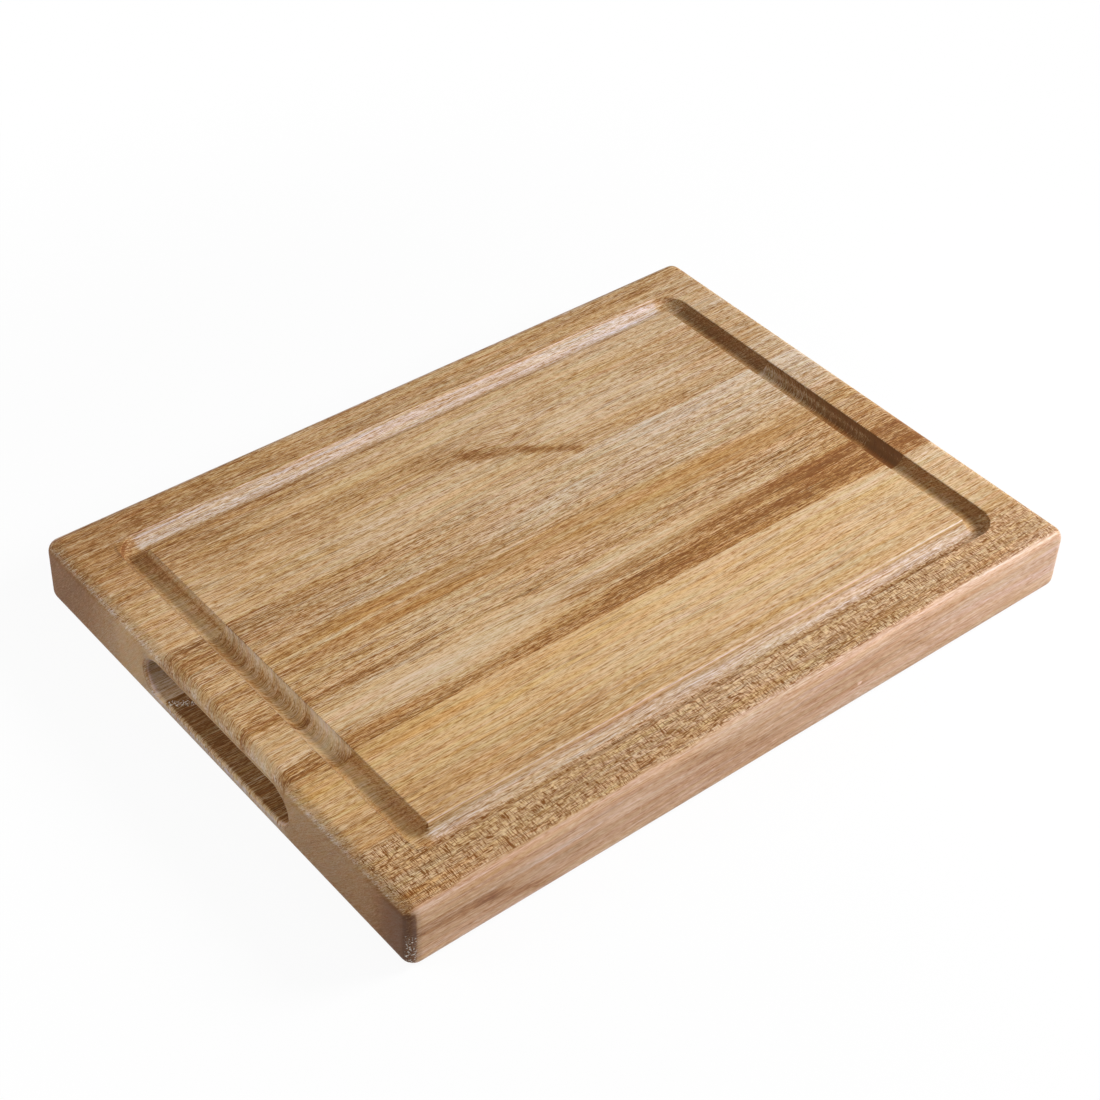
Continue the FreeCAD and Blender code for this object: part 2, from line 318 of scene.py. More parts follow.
def build_streak_group():
    """One streak of the figure: a band along the grain that fades at both ends."""
    pattern, given, put = new_group(
        "Figure streak",
        numbers("Along", "Across", "Start", "End", "Fade", "Left", "Right", "Bow", "Width",
                "Edge"),
        numbers("Mask"))
    way = pattern.less(given["Along"], given["Start"])
    share = pattern.math("DIVIDE", way, pattern.less(given["End"], given["Start"]))
    line = pattern.plus(given["Left"], share, pattern.less(given["Right"], given["Left"]))
    belly = pattern.times(share, pattern.outside(share))
    middle = pattern.plus(line, belly, pattern.times(given["Bow"], 4.0))
    half = pattern.times(given["Width"], 0.5)
    soft = pattern.times(given["Edge"], 0.5)
    body = pattern.near(given["Across"], middle, pattern.add(half, soft), pattern.less(half, soft))
    half_fade = pattern.times(given["Fade"], 0.5)
    before = pattern.times(half_fade, -1.0)
    fade_in = pattern.step(way, before, half_fade)
    fade_out = pattern.step(pattern.less(given["End"], given["Along"]), before, half_fade)
    put("Mask", pattern.times(body, fade_in, fade_out))
    return pattern.tree


def build_fleck_group():
    """The woven look of the front border: short ray flecks that cross the fibre lines. It
    is darker on the flecks and paler between them, and 0 away from the border."""
    pattern, given, put = new_group(
        "Woven fleck", {"Fibre": VECTOR, **numbers("Along", "Side")}, numbers("Woven"))
    crossing = pattern.noise(given["Fibre"], (0.23, 2.7, 3.0), detail=0.0)
    running = pattern.noise(given["Fibre"], (2.7, 0.23, 0.6), detail=0.0)
    patches = pattern.noise(given["Fibre"], (7.0, 3.0, 4.0), detail=0.0)
    flecks = pattern.either(
        pattern.step(pattern.plus(crossing, patches, 0.3), 0.07, 0.14),
        pattern.step(pattern.plus(running, patches, -0.3), 0.07, 0.14))
    border = pattern.step(given["Side"], -92.0, -98.0)
    corner = pattern.times(
        pattern.step(given["Along"], -140.0, -148.0), pattern.step(given["Side"], -84.0, -92.0))
    weave = pattern.plus(-1.3, flecks, 4.0)
    put("Woven", pattern.times(pattern.either(border, corner), weave))
    return pattern.tree


def build_groove_group():
    """Masks of the juice groove: its long runs, its short cross runs with their floor and walls,
    the lines along its arrises, and where painted highlight goes on its front-facing walls and
    arrises."""
    pattern, given, put = new_group(
        "Juice groove", numbers("Along", "Side", "Height"),
        numbers("Groove", "Run wall", "Wall line", "Cross run", "Cross floor", "Cross low",
                "Cross high", "Far wall", "Arris highlight", "Dark arris", "Outer rim"))
    past_end = pattern.less(pattern.size_of(given["Along"]), GROOVE_HALF_LENGTH)
    past_side = pattern.less(pattern.size_of(given["Side"]), GROOVE_HALF_WIDTH)
    over_end = pattern.either(past_end, 0.0)
    over_side = pattern.either(past_side, 0.0)
    outward = pattern.math("SQRT", pattern.add(
        pattern.times(over_end, over_end), pattern.times(over_side, over_side)))
    inward = pattern.math("MINIMUM", pattern.either(past_end, past_side), 0.0)
    # The distance from the groove's centre line, below 0 inside it.
    signed = pattern.add(outward, inward)
    route = pattern.size_of(signed)
    top = pattern.step(given["Height"], 20.0, 24.0)
    groove = pattern.times(pattern.step(route, GROOVE_REACH + 0.1, GROOVE_REACH - 0.15), top)
    long_run = pattern.times(groove, pattern.step(past_side, -5.6, -4.6))
    cross_run = pattern.times(groove, pattern.outside(long_run))
    put("Groove", groove)
    put("Cross run", cross_run)
    put("Wall line", pattern.times(pattern.near(route, 4.75, 0.55, 0.15), long_run))

    # Painted highlight: the arrises that face the front and the left are painted pale, those behind
    # them aren't.
    by_long_run = pattern.step(pattern.less(past_side, past_end), -0.5, 0.5)
    by_left_run = pattern.times(
        pattern.outside(by_long_run), pattern.step(given["Along"], 1.0, -1.0), top)
    lit_arris_place = pattern.blend(pattern.step(given["Side"], -1.0, 1.0), -5.85, 5.15)
    lit_arris = pattern.times(pattern.near(signed, lit_arris_place, 0.8, 0.25), by_long_run, top)
    lit_left_arris = pattern.times(pattern.near(signed, -5.3, 0.7, 0.15), by_left_run)
    put("Arris highlight", pattern.plus(lit_arris, lit_left_arris, 0.25))
    put("Dark arris", pattern.times(pattern.near(signed, 5.4, 0.8, 0.2), by_left_run))
    rim = pattern.times(pattern.step(route, 3.9, 5.2), pattern.step(signed, -1.0, 1.0))
    put("Outer rim", pattern.times(groove, rim, pattern.step(given["Along"], -1.0, 1.0)))

    facing = pattern.node("ShaderNodeNewGeometry").outputs["Normal"]
    to_right, to_back = pattern.split(facing)[:2]
    to_left = pattern.times(to_right, -1.0)
    to_front = pattern.times(to_back, -1.0)
    # Painted highlight: the walls of the long runs that face the front, below their top and short of
    # the corners.
    put("Run wall", pattern.times(
        long_run, pattern.step(to_front, -0.24, 0.3), pattern.step(given["Height"], 29.8, 28.0),
        pattern.step(past_end, -3.0, -6.0)))
    put("Cross floor", pattern.times(cross_run, pattern.step(pattern.size_of(to_right), 0.45, 0.15)))
    put("Cross low", pattern.times(
        cross_run, pattern.step(to_left, 0.15, 0.45), pattern.step(to_left, 0.9, 0.7)))
    put("Cross high", pattern.times(cross_run, pattern.step(to_left, 0.72, 0.9)))
    put("Far wall", pattern.times(cross_run, pattern.step(to_right, 0.3, 0.8)))
    return pattern.tree


def build_slot_group():
    """Masks of the finger slots: their inside, the rounded mouth, the brow over it and the
    sill under it."""
    pattern, given, put = new_group(
        "Finger slots", numbers("Along", "Side", "Height"), numbers("Slot", "Mouth", "Brow", "Sill"))
    height = given["Height"]
    sideways = pattern.size_of(given["Side"])
    near_end = pattern.less(BOARD_LENGTH / 2, pattern.size_of(given["Along"]))
    mouth_half = SLOT_HALF_LENGTH + MOUTH_ROUND
    mouth_top = SLOT_ROOF + MOUTH_ROUND
    mouth_low = SLOT_FLOOR - MOUTH_ROUND
    opening = pattern.times(
        pattern.step(sideways, mouth_half + 0.5, mouth_half - 0.5),
        pattern.step(height, mouth_low - 1.0, mouth_low),
        pattern.step(height, mouth_top + 0.5, mouth_top - 0.5))
    inside = pattern.times(
        pattern.step(near_end, 1.2, 3.0), pattern.step(near_end, SLOT_DEPTH + 2.0, SLOT_DEPTH + 1.0))
    put("Slot", pattern.times(inside, opening))
    lip = pattern.times(pattern.step(near_end, 0.0, 0.3), pattern.step(near_end, 2.4, 1.4))
    put("Mouth", pattern.times(lip, opening))
    beside = pattern.step(sideways, mouth_half + 1.0, mouth_half - 7.0)
    put("Brow", pattern.times(
        pattern.step(height, SLOT_ROOF - 0.4, SLOT_ROOF + 1.4),
        pattern.step(near_end, 4.6, 2.2), beside))
    put("Sill", pattern.times(
        pattern.step(height, SLOT_FLOOR + 1.4, SLOT_FLOOR + 0.2),
        pattern.step(near_end, 2.6, 1.4), beside))
    return pattern.tree


def build_face_group():
    """Masks by the way that the surface faces: sides along the grain, end grain, rounded
    edges and upright corners."""
    pattern, given, put = new_group(
        "Sawn faces", numbers("Along", "Height"),
        numbers("Long side", "End grain", "Outer end", "Weathered end", "Rounding", "Corner",
                "Torn rim"))
    facing = pattern.node("ShaderNodeNewGeometry").outputs["Normal"]
    endways, sideways, upwards = [pattern.size_of(share) for share in pattern.split(facing)]
    ragged = pattern.noise(
        pattern.join(given["Along"], 0.0, given["Height"]), (16.0, 1.0, 9.0), detail=2.0)
    put("Long side", pattern.step(pattern.plus(sideways, ragged, 0.7), 0.2, 0.6))
    put("End grain", pattern.step(endways, 0.5, 0.75))
    put("Outer end", pattern.step(endways, 0.84, 0.985))
    put("Weathered end", pattern.step(endways, 0.6, 0.9))
    flattest = pattern.either(pattern.either(endways, sideways), upwards)
    put("Rounding", pattern.step(flattest, 0.99, 0.85))
    put("Corner", pattern.times(
        pattern.step(endways, 0.3, 0.5), pattern.step(sideways, 0.1, 0.45),
        pattern.step(upwards, 0.7, 0.4)))
    put("Torn rim", pattern.times(
        pattern.step(endways, 0.15, 0.4), pattern.step(endways, 0.75, 0.5)))
    return pattern.tree


def fine_lines(pattern, given, grain, cut):
    """The fibre lines, hairs and pores on top of the bands, and the weave of the border."""
    fine = pattern.plus(pattern.times(grain["Lines"], 2.9), grain["Hairs"], 5.3)
    fine = pattern.times(fine, given["Crispness"])
    fine = pattern.add(pattern.plus(fine, grain["Pores"], 0.8), -0.28)
    fine = pattern.times(fine, given["Roughened"], 2.0)
    unsawn = pattern.outside(pattern.either(cut["Long side"], cut["End grain"]))
    return pattern.plus(fine, given["Woven"], unsawn)


def calm_of_faces(pattern, cut):
    """How strong the fine lines are: full on top, weaker on sides and ends and in hollows."""
    calm = pattern.plus(1.0, cut["Planed"], -0.45)
    calm = pattern.plus(calm, cut["Outer"], -0.8)
    calm = pattern.plus(calm, cut["Cross run"], -0.4)
    calm = pattern.plus(calm, cut["Slot"], -0.2)
    return pattern.plus(calm, pattern.times(cut["Brow"], pattern.outside(cut["End grain"])), -0.4)


def tone_of_faces(pattern, given, grain, cut):
    """The tone on each machined face. Faces along the grain are plainer and softer than the
    top. End grain drinks more oil and is browner, most of all at the bottom of the hollows,
    where the darker tone is partly painted shade, most in the slot and the short run at the right.
    The front-facing walls of the long runs, the front and left arrises, the slot's mouth and
    the sill under it are paler, which is painted highlight."""
    side = given["Side"]
    tone = pattern.plus(given["Tone"], grain["Bands"], 0.9)
    side_tone = pattern.plus(pattern.times(tone, 0.4), cut["Broad"], 1.5)
    side_tone = pattern.add(side_tone, given["Face tone"])
    side_tone = pattern.plus(side_tone, cut["Rounding"], -0.1)
    tone = pattern.blend(cut["Planed"], tone, side_tone)
    # Painted highlight: the front-facing walls of the long runs take a tone of their own.
    wall_highlight_tone = pattern.plus(given["Run wall"], tone, 0.35)
    tone = pattern.plus(tone, pattern.times(cut["Groove"], pattern.outside(cut["Cross run"])), 0.25)
    tone = pattern.blend(cut["Run wall"], tone, wall_highlight_tone)

    hollow_end = pattern.plus(given["End shift"], tone, given["End share"])
    outer_end = pattern.plus(0.9, tone, 0.4)
    outer_end = pattern.plus(outer_end, pattern.step(side, -92.0, -117.0), 1.3)
    outer_end = pattern.plus(outer_end, pattern.step(side, 70.0, 92.0), 0.45)
    outer_end = pattern.plus(outer_end, cut["By slot"], -0.4)
    tone = pattern.blend(cut["Outer"], tone, outer_end)
    tone = pattern.blend(pattern.times(cut["End grain"], cut["Hollow"]), tone, hollow_end)
    # Painted shade: the short run at the right takes darker tones than the one at the left.
    for zone in ("floor", "low", "high"):
        deeper = pattern.blend(cut["Right"], given["Left " + zone], given["Right " + zone])
        tone = pattern.plus(tone, cut["Cross " + zone], deeper)
    # The slot's darker tone is partly painted shade.
    slot_tone = pattern.plus(given["Slot tone"], tone, 0.35)
    tone = pattern.blend(cut["Slot"], tone, slot_tone)
    # Painted highlight: the slot's rounded mouth and the sill under it are paler where the lip
    # catches the light.
    tone = pattern.plus(tone, cut["Mouth"], -0.25)
    tone = pattern.plus(tone, cut["Sill"], -1.1)
    tone = pattern.plus(tone, cut["Brow"], -0.35)
    dark_corner = pattern.times(cut["Corner"], pattern.step(given["Along"], -100.0, -140.0))
    tone = pattern.plus(tone, dark_corner, 1.3)

    torn = pattern.step(pattern.noise(given["Fibre"], (1.6, 0.5, 0.5), detail=2.0), 0.08, 0.2)
    tone = pattern.plus(tone, pattern.times(torn, cut["Hollow"]), 0.7)
    tone = pattern.plus(tone, pattern.times(torn, cut["Torn rim"], cut["Open air"]), 0.5)
    # Painted highlight along the groove's front and left arrises.
    tone = pattern.plus(tone, cut["Arris highlight"], -0.7)
    tone = pattern.plus(tone, cut["Wall line"], 0.3)
    tone = pattern.plus(tone, pattern.times(cut["Outer rim"], cut["Cross run"]), -0.25)
    for glue_line in (FRONT_GLUE_LINE, BACK_GLUE_LINE):
        tone = pattern.plus(tone, pattern.near(side, glue_line, 0.4, 0.05), 0.3)
    return tone


def oiled_colour(pattern, given, grain, cut, tone, calm):
    """The colour of a tone under oil: more or less gold, greyer on the end grain, pinker on
    the long sides with a painted sheen, and a painted highlight on the front-facing walls of the
    long runs."""
    stops = [((step - PALEST_TONE) / TONE_SPAN, colour) for step, colour in ACACIA]
    share = pattern.math("DIVIDE", pattern.less(tone, PALEST_TONE), TONE_SPAN)
    colour = pattern.ramp(share, stops)
    walls = pattern.add(cut["Cross low"], cut["Cross high"])
    gold = pattern.plus(given["Gold"], grain["Gold"], 0.9)
    gold = pattern.plus(gold, pattern.times(cut["Right"], walls), given["Deep gold"])
    # The painted arris highlight is also a little greyer.
    gold = pattern.plus(gold, cut["Arris highlight"], -0.1)
    gold = pattern.plus(gold, cut["Slot"], -0.25)
    colour = pattern.tint(colour, gold, GOLDEN, other=GREYER)
    colour = pattern.tint(colour, pattern.plus(0.5, grain["Green"], 1.6), GREENER, other=REDDER)
    hairlines = pattern.times(grain["Hairlines"], calm, given["Roughened"], given["Crispness"], 1.1)
    colour = pattern.tint(colour, hairlines, HAIRLINE)
    # The long sides are pinker wood, and the same tint also paints a sheen on them.
    pink_and_sheen = pattern.times(cut["Planed"], pattern.add(cut["Broad"], 1.0))
    colour = pattern.tint(colour, pink_and_sheen, PINK_AND_SHEEN_SIDE)
    # Painted highlight on the front-facing walls of the long runs.
    colour = pattern.tint(colour, cut["Run wall"], PAINTED_WALL_HIGHLIGHT)
    colour = pattern.tint(colour, walls, DUSKY_WALL)
    fresher = pattern.plus(1.0, pattern.either(cut["By slot"], cut["Brow"]), -0.5)
    ashen = pattern.times(cut["Weathered end"], cut["Open air"], fresher)
    in_back = pattern.times(cut["Slot"], pattern.step(given["Side"], 12.0, 34.0))
    return pattern.tint(colour, pattern.plus(ashen, in_back, 0.15), ASHEN_END)


def shade_and_torn_fibres(pattern, given, cut, colour):
    """Painted shade on the front left corner and the end face beside it, on the outer arris of the
    left short run and on the right-facing walls of the short runs, and the white fibres torn up at
    the corner's foot and in the slot."""
    along, side, height = given["Along"], given["Side"], given["Height"]
    # Painted shade on the front left corner, the end face beside it, the outer arris of the left
    # short run and the right-facing walls of the short runs.
    by_corner = pattern.times(
        pattern.step(side, -102.0, -117.0), pattern.step(along, -130.0, -160.0),
        pattern.plus(cut["Corner"], cut["Outer"], 0.7))
    shaded = pattern.plus(by_corner, pattern.either(cut["Dark arris"], cut["Far wall"]), 0.6)
    colour = pattern.tint(colour, shaded, SHADED)
    chips = pattern.times(
        cut["Corner"], pattern.step(height, 18.0, 15.0), pattern.step(side, -116.2, -117.4))
    chips = pattern.plus(chips, given["Splintered"], pattern.step(height, 9.0, 7.0))
    chips = pattern.times(chips, pattern.step(along, 0.0, -140.0))
    fibres = pattern.noise(given["Fibre"], (0.8, 0.6, 0.7), detail=1.0)
    fibres = pattern.step(pattern.plus(fibres, chips, 0.04), 0.13, 0.18)
    return pattern.mix(pattern.times(fibres, chips), colour, SPLINTER_WHITE)


def build_finish_group():
    """The plank once it is machined and oiled: the figure's tone and gold turned into a
    colour, roughness, polish and relief for every face."""
    hollows = ("End share", "End shift", "Run wall", "Slot tone", "Deep gold", "Left floor",
               "Right floor", "Left low", "Right low", "Left high", "Right high")
    pattern, given, put = new_group(
        "Machined and oiled",
        {"Fibre": VECTOR, **numbers(
            "Along", "Side", "Height", "Tone", "Gold", "Roughened", "Crispness", "Woven",
            "Face tone", "Splintered", *hollows)},
        {"Colour": COLOUR, **numbers("Roughness", "Polish", "Relief")})
    along, side, height = given["Along"], given["Side"], given["Height"]
    grain = pattern.place(GRAIN, Fibre=given["Fibre"])
    cut = {
        **pattern.place(GROOVE, Along=along, Side=side, Height=height),
        **pattern.place(SLOTS, Along=along, Side=side, Height=height),
        **pattern.place(FACES, Along=along, Height=height),
    }
    cut["Hollow"] = pattern.either(cut["Groove"], cut["Slot"])
    cut["Open air"] = pattern.outside(cut["Hollow"])
    cut["Planed"] = pattern.times(
        cut["Long side"], cut["Open air"], pattern.outside(cut["End grain"]))
    cut["Outer"] = pattern.times(cut["Outer end"], cut["Open air"])
    cut["Right"] = pattern.step(along, 90.0, 130.0)
    cut["By slot"] = pattern.near(side, 57.0, 14.0, 5.0)
    cut["Broad"] = pattern.noise(given["Fibre"], (60.0, 6.0, 6.0), detail=2.0)

    fine = fine_lines(pattern, given, grain, cut)
    calm = calm_of_faces(pattern, cut)
    tone = pattern.plus(tone_of_faces(pattern, given, grain, cut), fine, calm)
    colour = oiled_colour(pattern, given, grain, cut, tone, calm)
    put("Colour", shade_and_torn_fibres(pattern, given, cut, colour))
    roughness = pattern.plus(0.60, fine, 0.08)
    put("Roughness", pattern.plus(roughness, cut["Hollow"], 0.05))
    put("Polish", pattern.times(cut["Planed"], 0.35))
    # Hairs stand up by a few hundredths of a millimetre, and pores are as deep.
    put("Relief", pattern.times(pattern.less(grain["Hairs"], grain["Pores"]), 0.05))
    return pattern.tree


TIMBER = build_timber_group()
GRAIN = build_grain_group()
STREAK = build_streak_group()
FLECK = build_fleck_group()
GROOVE = build_groove_group()
SLOTS = build_slot_group()
FACES = build_face_group()
FINISH = build_finish_group()


def section(pattern, across, bands):
    """The figure across the stave in one place: (position, tone, gold) of each band, and
    how rough its fine lines are where that isn't 1."""
    low = bands[0][0]
    span = bands[-1][0] - low
    stops = []
    for place, tone, gold, *rough in bands:
        fineness = rough[0] / 2 if rough else 0.5
        levels = ((tone - PALEST_TONE) / TONE_SPAN, (gold + 1) / 2, fineness)
        stops.append(((place - low) / span, levels))
    return pattern.ramp(pattern.math("DIVIDE", pattern.less(across, low), span), stops)


def streak(along, across, width, tone, fade=25.0, bow=0.0, edge=None):
    """A streak from along[0] to along[1], centred on across[0] at the one and on across[1] at
    the other."""
    shape = {
        "Start": along[0], "End": along[1], "Fade": fade, "Left": across[0], "Right": across[1],
        "Bow": bow, "Width": width, "Edge": width * 0.7 if edge is None else edge,
    }
    return shape, tone


def draw_streaks(pattern, tone, along, across, streaks):
    """The tone with each streak's own tone added to it."""
    for shape, depth in streaks:
        mask = pattern.place(STREAK, Along=along, Across=across, **shape)["Mask"]
        tone = pattern.plus(tone, mask, depth)
    return tone


def draw_figure(pattern, timber, sections, streaks):
    """The tone, the gold and the roughness of fine lines that the sections and streaks give."""
    (before, first), *others = sections
    figure = section(pattern, timber["Across"], first)
    for place, bands in others:
        here = section(pattern, timber["Across"], bands)
        figure = pattern.mix(pattern.step(timber["Along"], before, place), figure, here)
        before = place
    tone_share, gold, roughened = pattern.split(figure)
    tone = pattern.plus(PALEST_TONE, tone_share, TONE_SPAN)
    return draw_streaks(pattern, tone, timber["Along"], timber["Straight"], streaks), gold, roughened


def acacia(name, plank, lean, knot, sections, streaks, hollows, crispness,
           fleck=False, face_streaks=(), splinters=()):
    """One stave's material: its own plank, with the bands and streaks that show in it, and
    how much darker the hollows cut into it are."""
    material = bpy.data.materials.new(name)
    material.use_nodes = True
    pattern = Pattern(material.node_tree)
    timber = pattern.place(TIMBER, Plank=plank, Lean=lean, Knot=knot)
    along, side, height = timber["Along"], timber["Side"], timber["Height"]
    tone, gold, roughened = draw_figure(pattern, timber, sections, streaks)
    woven = 0.0
    if fleck:
        woven = pattern.place(FLECK, Fibre=timber["Fibre"], Along=along, Side=side)["Woven"]
    finish = pattern.place(
        FINISH, Fibre=timber["Fibre"], Along=along, Side=side, Height=height, Tone=tone,
        Gold=gold, Roughened=roughened, Crispness=crispness, Woven=woven,
        Face_tone=draw_streaks(pattern, 0.0, along, height, face_streaks),
        Splintered=draw_streaks(pattern, 0.0, along, side, splinters), **hollows)

    bump = pattern.node("ShaderNodeBump")
    bump.inputs["Strength"].default_value = 1.0
    bump.inputs["Distance"].default_value = MM
    pattern.feed(bump.inputs["Height"], finish["Relief"])
    shader = pattern.node("ShaderNodeBsdfPrincipled")
    shader.inputs["Specular IOR Level"].default_value = 0.25
    shader.inputs["Coat Roughness"].default_value = 0.42
    pattern.feed(shader.inputs["Coat Weight"], finish["Polish"])
    pattern.feed(shader.inputs["Roughness"], finish["Roughness"])
    pattern.feed(shader.inputs["Base Color"], finish["Colour"])
    pattern.feed(shader.inputs["Normal"], bump.outputs["Normal"])
    output = pattern.node("ShaderNodeOutputMaterial")
    pattern.feed(output.inputs["Surface"], shader.outputs["BSDF"])
    return material


# The back stave: reddish along its outer border, pale by the glue line, with a knot.
BACK_SECTIONS = (
    (-130.0, (
        (36, -0.4, 0.0), (44, 0.1, 0.1), (58, 0.0, 0.0), (68, 0.4, 0.0), (76, 0.7, 0.0),
        (86, 1.1, -0.1), (103, 1.15, -0.1), (120, 1.3, -0.1))),
    (-30.0, (
        (36, -0.4, -0.1), (52, -0.5, -0.1), (62, 0.2, -0.1), (70, 0.4, 0.0), (77, -0.4, 0.1),
        (86, 0.1, 0.0), (93, 0.55, 0.0), (105, 0.4, 0.0), (120, 0.5, 0.0))),
    (60.0, (
        (36, 0.4, 0.0), (44, 0.2, 0.0), (50, -0.3, -0.1), (58, -0.6, -0.2), (66, -0.2, -0.2),
        (76, -0.1, 0.0), (82, -0.5, -0.2), (88, 0.0, -0.1), (96, 0.2, -0.1), (104, 0.2, -0.15),
        (120, 0.5, 0.0))),
    (150.0, (
        (36, 0.3, -0.6), (48, 0.1, -0.6), (54, 0.5, -0.3), (64, 0.5, -0.4), (76, 0.3, -0.5),
        (86, 0.0, -0.6), (96, 0.3, -0.3), (106, 0.5, -0.2), (120, 0.6, -0.2))),
)
BACK_STREAKS = (
    # the outer border
    streak((-175, 30), (106.5, 106.5), 2.2, 0.35),
    streak((-175, -20), (116.5, 116.0), 1.5, 0.3),
    streak((-60, 90), (113.5, 113.5), 2.0, -0.3),
    streak((-20, 120), (109.5, 110.0), 1.4, 0.5),
    streak((-30, 60), (103.0, 103.5), 1.0, 0.5),
    streak((40, 175), (101.0, 100.5), 1.4, 0.5),
    streak((110, 175), (106.0, 105.5), 2.0, -0.6),
    streak((118, 175), (109.5, 109.5), 3.0, 0.6),
    # between the groove and the knot
    streak((-175, -10), (90.0, 89.7), 1.6, 0.6, fade=40),
    streak((-138, -60), (84.0, 83.0), 2.2, 0.35),
    streak((-130, -95), (81.0, 81.5), 1.5, 0.4),
    streak((-110, -15), (77.5, 78.0), 3.0, -0.45),
    streak((-125, -30), (73.0, 73.5), 1.3, 0.6),
    streak((-95, -20), (63.0, 65.5), 1.1, 0.3),
    streak((-140, -70), (62.0, 61.0), 1.5, 0.4),
    streak((-70, -20), (70.5, 70.0), 1.1, 0.3),
    streak((-30, -4), (72.0, 71.0), 8.0, 0.3, fade=14),
    streak((-18, 28), (80.5, 79.5), 4.0, -0.5, fade=20),
    streak((2, 38), (89.3, 89.3), 1.2, 0.6, fade=8),
    # the knot's own streak, which leaves it sideways and ends at the glue line
    streak((-20, 10), (66.0, 58.5), 9.0, 0.7, fade=14, edge=8.0),
    streak((-4, 26), (62.5, 48.5), 7.0, 1.5, fade=9, bow=0.8, edge=6.0),
    streak((20, 43), (52.0, 36.0), 6.2, 1.5, fade=8, bow=0.3, edge=5.4),
    streak((20, 32), (60.5, 64.5), 1.8, 0.7, fade=8),
    streak((36, 62), (61.5, 62.0), 1.2, 0.5),
    # right of the knot
    streak((38, 70), (79.0, 79.5), 1.8, 0.5),
    streak((68, 135), (75.0, 76.0), 1.4, 0.55),
    streak((60, 140), (70.0, 71.5), 1.0, 0.4),
    streak((42, 66), (57.0, 57.5), 5.0, -0.3, fade=15),
    streak((84, 112), (57.0, 58.0), 6.0, -0.3, fade=20),
    streak((60, 140), (39.0, 38.5), 2.4, 0.3),
)
# The middle stave: brown by the back glue line, two orange bands, heartwood in front.
MIDDLE_SECTIONS = (
    (-150.0, (
        (-46, 1.75, 0.4), (-42, 1.35, 0.35), (-38, 0.5, 0.0), (-34, -0.2, 0.0, 0.7),
        (-26, -0.3, 0.1, 0.7), (-20, 0.3, 0.05), (-8, 0.45, 0.15), (-1.5, 0.4, 0.1), (0, 0.8, 0.2),
        (5, 0.75, 0.2), (6.3, 0.1, -0.05), (8, 0.6, 0.2), (13.5, 0.6, 0.2), (15.5, 0.5, -0.05),
        (19, 0.6, -0.05), (24, 1.2, -0.1), (36, 1.2, -0.2))),
    (-75.0, (
        (-46, 1.05, 0.3), (-41, 0.65, 0.35), (-36, -0.7, -0.1, 0.6), (-29, -1.0, -0.15, 0.6),
        (-20, -0.2, 0.1), (-12, -0.2, 0.0, 1.2), (-2, -0.1, 0.0), (-0.5, 0.7, 0.3, 0.6),
        (4.5, 0.65, 0.3, 0.6), (6, 0.1, -0.1), (8, 0.45, 0.25, 0.6), (13, 0.5, 0.25, 0.6),
        (15.5, 0.05, -0.4), (24, 0.4, -0.15), (36, 0.7, 0.05))),
    (20.0, (
        (-46, 1.35, 0.25), (-37, 1.25, 0.25), (-34, 0.7, 0.1), (-28, -0.4, -0.2, 0.6),
        (-23, -0.75, -0.15, 0.6), (-18, 0.4, 0.0), (-8.5, 0.1, -0.05), (-6.5, 0.4, 0.25, 0.6),
        (4.5, 0.45, 0.3, 0.6), (6.5, 0.05, -0.05), (14, -0.2, -0.45), (24, -0.2, -0.35),
        (36, -0.5, -0.35))),
    (110.0, (
        (-46, 1.5, 0.35), (-35.5, 1.65, 0.25), (-26, 1.5, 0.35), (-23, 0.1, -0.05),
        (-17, 0.7, -0.05, 1.2), (-9, 0.6, 0.05, 1.2), (-6.5, 0.7, 0.2, 0.6), (1.5, 0.75, 0.3, 0.6),
        (3.5, 0.15, -0.15), (14, -0.1, -0.55), (24, 0.0, -0.45), (31, -0.85, -0.65),
        (36, -1.05, -0.85))),
    (160.0, (
        (-46, 1.75, 0.0), (-35.5, 1.6, -0.1), (-27, 1.5, -0.1), (-22, 0.8, -0.05), (-14, 1.1, -0.05),
        (-6, 0.9, -0.05), (0, 0.75, 0.05), (6, 0.4, -0.45), (14, 0.1, -0.65), (24, 0.1, -0.75),
        (36, -0.6, -1.05))),
)
